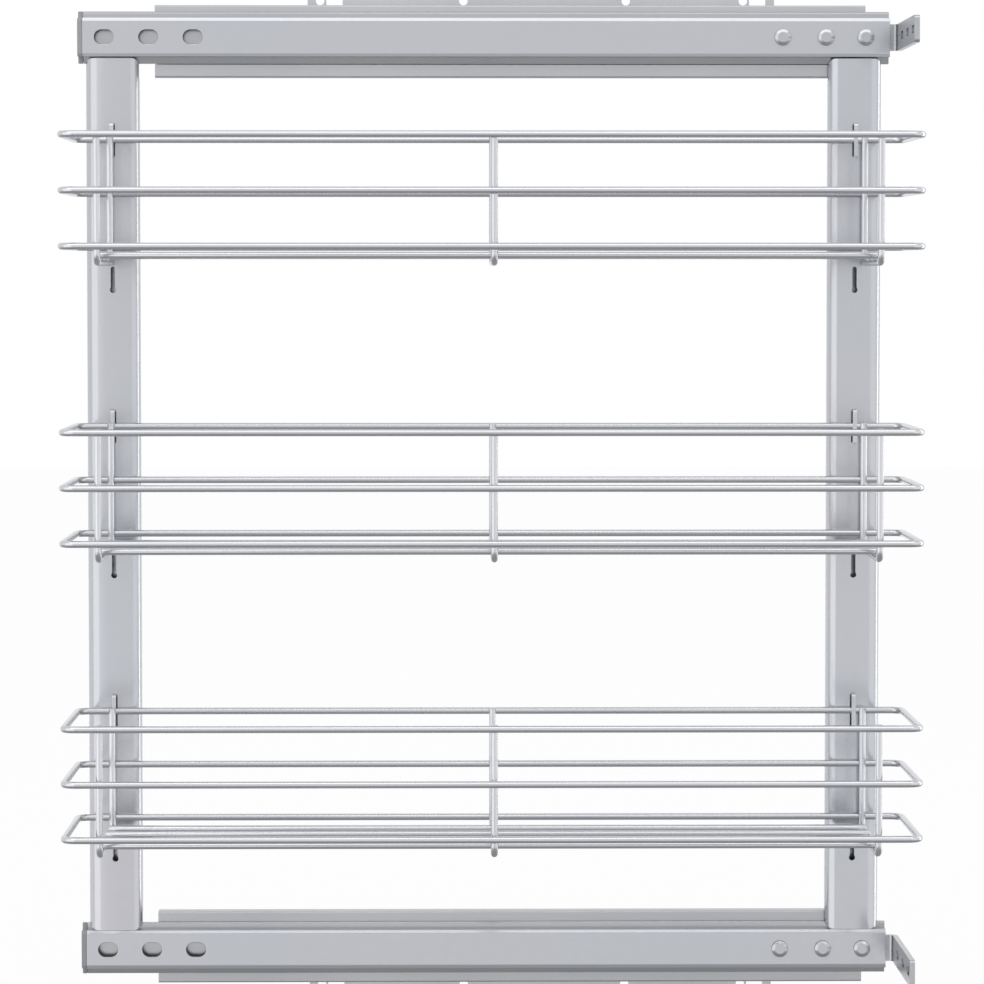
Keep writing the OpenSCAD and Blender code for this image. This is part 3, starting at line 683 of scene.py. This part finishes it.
def oval_bar(name, place, turn, length, width, depth):
    """A round bar pulled apart across its axis, then turned and moved to its place."""
    deselect()
    bpy.ops.mesh.primitive_cylinder_add(vertices=BAR_SIDES, radius=width / 2, depth=depth)
    piece = bpy.context.object
    piece.name = name
    bpy.ops.object.mode_set(mode="EDIT")
    bpy.ops.mesh.select_all(action="SELECT")
    bpy.ops.transform.rotate(value=math.pi / BAR_SIDES, orient_axis="Z",
                             center_override=(0, 0, 0))
    for way in (-1, 1):
        pick_points(piece, lambda p: p.x * way > 0)
        bpy.ops.transform.translate(value=(way * (length - width) / 2, 0, 0))
    bpy.ops.object.mode_set(mode="OBJECT")
    piece.rotation_euler = [math.radians(t) for t in turn]
    piece.location = place
    bpy.ops.object.transform_apply(location=True, rotation=True, scale=True)
    return piece


def pick_edges(piece, test):
    """Selects the edges of the open piece whose two ends pass the test."""
    bpy.ops.mesh.select_mode(type="EDGE")
    bpy.ops.mesh.select_all(action="DESELECT")
    bpy.ops.object.mode_set(mode="OBJECT")
    points = piece.data.vertices
    for edge in piece.data.edges:
        edge.select = test(points[edge.vertices[0]].co, points[edge.vertices[1]].co)
    bpy.ops.object.mode_set(mode="EDIT")


def apply_last(piece):
    """Applies the piece's last modifier."""
    deselect()
    piece.select_set(True)
    bpy.context.view_layer.objects.active = piece
    bpy.ops.object.modifier_apply(modifier=piece.modifiers[-1].name)


def saw(piece, tools, keep="DIFFERENCE"):
    """Takes the tools away from the piece, or keeps only what is inside them."""
    for tool in tools:
        cut = piece.modifiers.new("saw", "BOOLEAN")
        cut.operation, cut.solver, cut.object = keep, "EXACT", tool
        apply_last(piece)
        bpy.data.objects.remove(tool)


def ease(piece, width, from_angle=EASED_ANGLE, steps=2, keep_flats=True):
    """Rounds the piece's sharp edges a little, smooths curves and may keep flat faces flat."""
    edge = piece.modifiers.new("ease", "BEVEL")
    edge.width, edge.segments, edge.limit_method = width, steps, "ANGLE"
    edge.angle_limit, edge.harden_normals = math.radians(from_angle), True
    piece.data.shade_smooth()
    apply_last(piece)
    bpy.ops.object.shade_smooth_by_angle(angle=math.radians(30))
    if keep_flats:
        flats = piece.modifiers.new("flats", "WEIGHTED_NORMAL")
        flats.mode, flats.weight, flats.keep_sharp = "FACE_AREA", 100, True
        apply_last(piece)


def lean_back(piece, front_y, edge_z, way, tall, deep):
    """Makes a slope of the long front edge at edge_z. way is 1 at an upper edge, else -1."""
    nick = 0.0004
    pick_edges(piece, lambda a, b: abs(a.x - b.x) > 0.1 and max(
        abs(p.y - front_y) + abs(p.z - edge_z) for p in (a, b)) < 2e-6)
    bpy.ops.mesh.bevel(offset=nick, segments=1, affect="EDGES")
    pick_points(piece, lambda p: abs(p.y - front_y) + abs(p.z - edge_z + way * nick) < 4e-6)
    bpy.ops.transform.translate(value=(0, 0, way * (nick - tall)))
    pick_points(piece, lambda p: abs(p.y - front_y - nick) + abs(p.z - edge_z) < 4e-6)
    bpy.ops.transform.translate(value=(0, deep - nick, 0))


def eased_copy(node, name, width):
    """A copy of a solid, merged and with its edges eased."""
    deselect()
    piece = bpy.data.objects.new(name, frame["nodes"][node].data.copy())
    scene.collection.objects.link(piece)
    piece.select_set(True)
    bpy.context.view_layer.objects.active = piece
    bpy.ops.object.mode_set(mode="EDIT")
    bpy.ops.mesh.select_all(action="SELECT")
    bpy.ops.mesh.remove_doubles(threshold=2e-6)
    bpy.ops.mesh.dissolve_limited(angle_limit=math.radians(1))
    bpy.ops.object.mode_set(mode="OBJECT")
    ease(piece, width)
    return piece


# %% [markdown]
# ## The rails
# A rail is a shallow channel, rolled from one and a half millimetre strip. Its upper front
# corner leans back and shows as a bright line, its lower one leans back much less. The rear end
# is punched with three long slots, the front end with three round holes for the door bracket's
# bolts. A block loses its back and its ends, its front corners are leaned back, the skin gets
# its thickness inwards, and the openings are sawn out.

# %% One rail
SHOULDER = (0.0020, 0.0012)
LOWER_LEAN = (0.0022, 0.0005)
RAIL_STEEL = 0.0015
RAIL_SLOT = (0.0118, 0.0085)
RAIL_SLOTS_X = (-0.2585, -0.2325, -0.2065)
BOLT_HOLE = 0.0068
BOLTS_X = (0.1879, 0.1646, 0.1392)
rail_low, rail_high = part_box("top_rail")
rail_z = middle("top_rail").z
rail = block("top_rail_channel", rail_low, rail_high)
bpy.ops.object.mode_set(mode="EDIT")
pick_faces(rail, lambda c, n: n.y > 0.5 or abs(n.x) > 0.5)
bpy.ops.mesh.delete(type="FACE")
lean_back(rail, rail_low.y, rail_high.z, 1, *SHOULDER)
lean_back(rail, rail_low.y, rail_low.z, -1, *LOWER_LEAN)
bpy.ops.object.mode_set(mode="OBJECT")
wall = rail.modifiers.new("wall", "SOLIDIFY")
wall.thickness, wall.offset, wall.use_even_offset = RAIL_STEEL, -1, True
apply_last(rail)
punch_y = rail_low.y + RAIL_STEEL / 2
saw(rail, [oval_bar("slot", (x, punch_y, rail_z), (90, 0, 0), *RAIL_SLOT, PUNCH_LENGTH)
           for x in RAIL_SLOTS_X])
saw(rail, [oval_bar("hole", (x, punch_y, rail_z), (90, 0, 0), BOLT_HOLE, BOLT_HOLE, PUNCH_LENGTH)
           for x in BOLTS_X])
ease(rail, 0.0003, LEAST_CREASE)
print("rail:", len(rail.data.polygons), "faces, box", tuple(rail.dimensions))

# %% Two rails
bottom_rail = copy_of(rail, "bottom_rail_channel", shift_to("bottom_rail", "top_rail"))
give(rail, "sliding_frame", "frame_chrome", frame_plate, "top_rail")
give(bottom_rail, "sliding_frame", "frame_chrome", frame_plate, "bottom_rail")
print("rails:", rail.name, bottom_rail.name)

# %% [markdown]
# ## The plates behind the rails
# A flat plate closes each rail's back and carries the runner's inner member. Its upper edge leans
# back a little and catches the light. Below the rail the plate leans back and stays dark. Its tint
# is darker than the rail's: partly the zinc's own tone, partly painted shade for the recess.

# %% One back plate
PLATE_TOP_LEAN = (0.0010, 0.0008)
PLATE_LOW_LEAN = (0.0040, 0.0012)
plate_low, plate_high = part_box("top_rail_back_plate")
back_plate = block("top_rail_closing_plate", plate_low, plate_high)
bpy.ops.object.mode_set(mode="EDIT")
lean_back(back_plate, plate_low.y, plate_high.z, 1, *PLATE_TOP_LEAN)
lean_back(back_plate, plate_low.y, plate_low.z, -1, *PLATE_LOW_LEAN)
bpy.ops.object.mode_set(mode="OBJECT")
ease(back_plate, 0.0002, LEAST_CREASE)
low_plate = copy_of(back_plate, "bottom_rail_closing_plate",
                    shift_to("bottom_rail_back_plate", "top_rail_back_plate"))
give(back_plate, "sliding_frame", "frame_chrome", plate_zinc, "top_rail_back_plate")
give(low_plate, "sliding_frame", "frame_chrome", plate_zinc, "bottom_rail_back_plate")
print("back plate:", len(back_plate.data.polygons), "faces")

# %% [markdown]
# ## The uprights
# An upright is a round tube that has been rolled to a flat-sided oval. Its face is punched with
# three slots for the hooks and three spare ones that end in a round eye. Its ends have round
# corners and are cut back behind, where the runners pass.

# %% The oval tube
TUBE_STEEL = 0.0012
END_CORNER = 0.0042
SLIDE_GAP = 0.0008
RAIL_GAP = 0.0008
SPARE = 0.01
BORE_LENGTH = 0.7
PAST_ENDS = 0.4
tube_low, tube_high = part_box("rear_upright")
tube_mid = middle("rear_upright")
tube_w, tube_d, tube_h = tube_high - tube_low
tube_top, tube_end = rail_low.z - RAIL_GAP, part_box("bottom_rail")[1].z
tube = oval_bar("rear_upright_tube", tube_mid, (0, 0, 0), tube_w, tube_d, tube_h)
blank = block("blank", (tube_low.x, tube_low.y - SPARE, tube_end),
              (tube_high.x, tube_high.y + SPARE, tube_top))
bpy.ops.object.mode_set(mode="EDIT")
pick_edges(blank, lambda a, b: abs(a.y - b.y) > 0.01)
bpy.ops.mesh.bevel(offset=END_CORNER, segments=6, affect="EDGES")
bpy.ops.object.mode_set(mode="OBJECT")
saw(tube, [blank], "INTERSECT")
bore = oval_bar("bore", tube_mid, (0, 0, 0), tube_w - 2 * TUBE_STEEL, tube_d - 2 * TUBE_STEEL,
                BORE_LENGTH)
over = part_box("top_outer_member")[0].z - SLIDE_GAP
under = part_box("bottom_outer_member")[1].z + SLIDE_GAP
notches = [block("notch", (tube_low.x - SPARE, rail_high.y, z0), (tube_high.x + SPARE, 0, z1))
           for z0, z1 in ((over, PAST_ENDS), (-PAST_ENDS, under))]
saw(tube, [bore] + notches)
print("tube:", len(tube.data.polygons), "faces, box", tuple(tube.dimensions))

# %% Its slots
HOOK_SLOT = (0.0203, 0.0032)
HOOK_SLOT_TOP = 0.0098
SPARE_SLOT = (0.0154, 0.0026)
SPARE_DROP = 0.0743
EYE = 0.0036
slots = []
for z in [middle(basket + "_basket_rim_wire").z for basket in BASKETS]:
    openings = ((z + HOOK_SLOT_TOP - HOOK_SLOT[0] / 2, HOOK_SLOT),
                (z - SPARE_DROP - SPARE_SLOT[0] / 2, SPARE_SLOT),
                (z - SPARE_DROP - SPARE_SLOT[0] + EYE / 2, (EYE, EYE)))
    for slot_z, size in openings:
        slots.append(oval_bar("slot", (tube_mid.x, tube_low.y, slot_z), (90, 90, 0), *size,
                              PUNCH_LENGTH))
saw(tube, slots)
ease(tube, 0.0002, keep_flats=False)
front_tube = copy_of(tube, "front_upright_tube", shift_to("front_upright", "rear_upright"))
give(tube, "sliding_frame", "frame_chrome", frame_plate, "rear_upright")
give(front_tube, "sliding_frame", "frame_chrome", frame_plate, "front_upright")
print("upright:", len(tube.data.polygons), "faces, slots", len(slots))

# %% [markdown]
# ## The bolts
# Three bolts go through each rail and its bracket into nuts. A head is a round button with a
# flat middle and a ring that slopes back, which shows as a bright arc. A nut is a bar with six
# sides and eased corners.

# %% One bolt
HEAD_R = 0.0049
HEAD_H = 0.0028
HEAD_SLOPE_W, HEAD_SLOPE_H = 0.0019, 0.0011
SHANK_R = 0.003
NUT_FLATS = 0.010
NUT_H = 0.0026
THREAD_PROUD = 0.0002
TURNED_EDGE = 0.0004
bolt_low, bolt_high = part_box("top_bracket_bolts")
nut_y = bolt_high.y - THREAD_PROUD - NUT_H


def bar_y(name, sides, radius, y0, y1):
    """A bar along Y between two depths, at the first bolt's place."""
    deselect()
    bpy.ops.mesh.primitive_cylinder_add(vertices=sides, radius=radius, depth=y1 - y0,
                                        location=(BOLTS_X[0], (y0 + y1) / 2, rail_z),
                                        rotation=(math.radians(90), 0, 0))
    piece = bpy.context.object
    piece.name = name
    bpy.ops.object.transform_apply(location=True, rotation=True, scale=True)
    return piece


bolt = bar_y("top_bolt_set", 40, HEAD_R, bolt_low.y, bolt_low.y + HEAD_H)
bpy.ops.object.mode_set(mode="EDIT")
pick_edges(bolt, lambda a, b: max(a.y, b.y) < bolt_low.y + SAME_PLACE)
bpy.ops.mesh.bevel(offset=HEAD_SLOPE_W, segments=1, affect="EDGES")
pick_points(bolt, lambda p: abs(p.y - bolt_low.y - HEAD_SLOPE_W) < 1e-5)
bpy.ops.transform.translate(value=(0, HEAD_SLOPE_H - HEAD_SLOPE_W, 0))
bpy.ops.object.mode_set(mode="OBJECT")
ease(bolt, TURNED_EDGE, 20, 3)
shank = bar_y("shank", 24, SHANK_R, bolt_low.y + HEAD_H - THREAD_PROUD, bolt_high.y)
ease(shank, TURNED_EDGE)
nut = bar_y("nut", 6, NUT_FLATS / 2 / math.cos(math.radians(30)), nut_y, nut_y + NUT_H)
ease(nut, TURNED_EDGE, steps=3)
join_all(bolt, shank, nut)
close_piece(bolt, 35)

# %% Two sets of three bolts
join_all(bolt, *[copy_of(bolt, "bolt", (x - BOLTS_X[0], 0, 0)) for x in BOLTS_X[1:]])
low_bolts = copy_of(bolt, "bottom_bolt_set", shift_to("bottom_bracket_bolts", "top_bracket_bolts"))
give(bolt, "sliding_frame", "bolts", turned_steel, "top_bracket_bolts")
give(low_bolts, "sliding_frame", "bolts", turned_steel, "bottom_bracket_bolts")
print("bolts:", len(bolt.data.polygons), "faces a set")

# %% [markdown]
# ## The door brackets
# A bracket is a strip three millimetres thick, bent once. Its leg lies inside the rail and its
# plate, with three long slots, stands in front of the frame and takes the door. The strip's end
# is drawn out, swept round the bend and drawn out again, as it would be on a folding machine.

# %% One bracket
STRIP = 0.003
FOLD_R = 0.002
DOOR_SLOT = (0.012, 0.0046)
DOOR_SLOTS_Y = (-0.04966, -0.07766, -0.10566)
PLATE_CORNER = 0.002
arm_low, arm_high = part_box("top_door_bracket")
arm_z = middle("top_door_bracket").z
leg_y = arm_high.y - STRIP / 2
deselect()
bpy.ops.mesh.primitive_plane_add(size=1, location=(arm_low.x, leg_y, arm_z),
                                 rotation=(0, math.radians(90), 0))
bracket = bpy.context.object
bracket.name = "top_folded_bracket"
bracket.scale = (arm_high.z - arm_low.z, STRIP, 1)
bpy.ops.object.transform_apply(location=True, rotation=True, scale=True)
bpy.ops.object.mode_set(mode="EDIT")
bpy.ops.mesh.select_all(action="SELECT")
fold_x = arm_high.x - STRIP - FOLD_R
draw_out(fold_x - arm_low.x, 0, 0)
bend((fold_x, leg_y - STRIP / 2 - FOLD_R, arm_z), (0, 0, 1), 90)
draw_out(0, arm_low.y - (leg_y - STRIP / 2 - FOLD_R), 0)
bpy.ops.mesh.select_all(action="SELECT")
bpy.ops.mesh.remove_doubles(threshold=SAME_PLACE)
bpy.ops.mesh.normals_make_consistent(inside=False)
pick_edges(bracket, lambda a, b: max(a.y, b.y) < arm_low.y + SAME_PLACE
           and abs(a.x - b.x) > STRIP / 2)
bpy.ops.mesh.bevel(offset=PLATE_CORNER, segments=5, affect="EDGES")
bpy.ops.object.mode_set(mode="OBJECT")
plate_x = arm_high.x - STRIP / 2
saw(bracket, [oval_bar("slot", (plate_x, y, arm_z), (90, 0, 90), *DOOR_SLOT, LONG_PUNCH)
              for y in DOOR_SLOTS_Y])
saw(bracket, [oval_bar("hole", (x, leg_y, arm_z), (90, 0, 0), BOLT_HOLE, BOLT_HOLE, LONG_PUNCH)
              for x in BOLTS_X])
ease(bracket, 0.0003)
low_bracket = copy_of(bracket, "bottom_folded_bracket",
                      shift_to("bottom_door_bracket", "top_door_bracket"))
give(bracket, "sliding_frame", "sheet_steel", bracket_zinc, "top_door_bracket")
give(low_bracket, "sliding_frame", "sheet_steel", bracket_zinc, "bottom_door_bracket")
print("bracket:", len(bracket.data.polygons), "faces, box", tuple(bracket.dimensions))

# %% [markdown]
# ## Pieces that keep their solid's shape
# The hooks, caps, mounting plates, rubber stops and runner members are right in the solids,
# except that a real sheared or moulded edge is slightly round and shows as a thin light line. A
# copy of each solid is merged and its edges are eased. Balls, cages and rivets stay solids. The
# photograph shows one thing more: each edge of a runner's outer member ends in a flat flange in
# front of the balls. The flange is a thin strip whose outer edge leans back.

# %% The outer members' flanges
FLANGE_STEEL = 0.0009
FLANGE_W = 0.0076
FLANGE_PROUD = 0.00005
FLANGE_SHORT = 0.00002
FLANGE_LEAN = (0.0008, 0.0006)


def add_flanges(track):
    """Joins two flat flanges to an outer member, one at each of its edges."""
    corners = [Vector(c) for c in track.bound_box]
    low, high = corners[0], corners[6]
    front = low.y - FLANGE_PROUD
    strips = []
    for way, edge_z in ((1, high.z), (-1, low.z)):
        ends = sorted((edge_z, edge_z - way * FLANGE_W))
        strip = block("flange", (low.x + FLANGE_SHORT, front, ends[0]),
                      (high.x - FLANGE_SHORT, front + FLANGE_STEEL, ends[1]))
        bpy.ops.object.mode_set(mode="EDIT")
        lean_back(strip, front, edge_z, way, *FLANGE_LEAN)
        bpy.ops.object.mode_set(mode="OBJECT")
        ease(strip, 0.0001, LEAST_CREASE)
        strips.append(strip)
    join_all(track, *strips)


# %% Eased copies
COPIES = (
    ("hooks", "hook_set", 0.00025, "hook_steel", hook_steel),
    ("end_cap", "moulded_end", 0.0006, "grey_plastic", moulded_cap),
    ("mounting_plate", "screw_plate", 0.0003, "sheet_steel", pressed_sheet),
    ("rear_stop", "rubber_block", 0.0006, "black_rubber", stop_rubber),
    ("outer_member", "fixed_track", 0.00015, "runner_steel", rolled_strip),
    ("middle_member", "link_track", 0.00015, "runner_steel", rolled_strip),
    ("inner_member", "frame_track", 0.00015, "runner_steel", rolled_strip),
)
made = 0
for node, part, width, slot, finish in COPIES:
    for solid in sorted(n for n in frame["nodes"] if n.endswith("_" + node)):
        name = solid[:-len(node)] + part
        piece = eased_copy(solid, name, width)
        if node == "outer_member":
            add_flanges(piece)
        give(piece, frame["nodes"][solid]["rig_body"], slot, finish, solid)
        made += 1
        print(name, len(piece.data.polygons), "faces")
print("eased copies:", made)
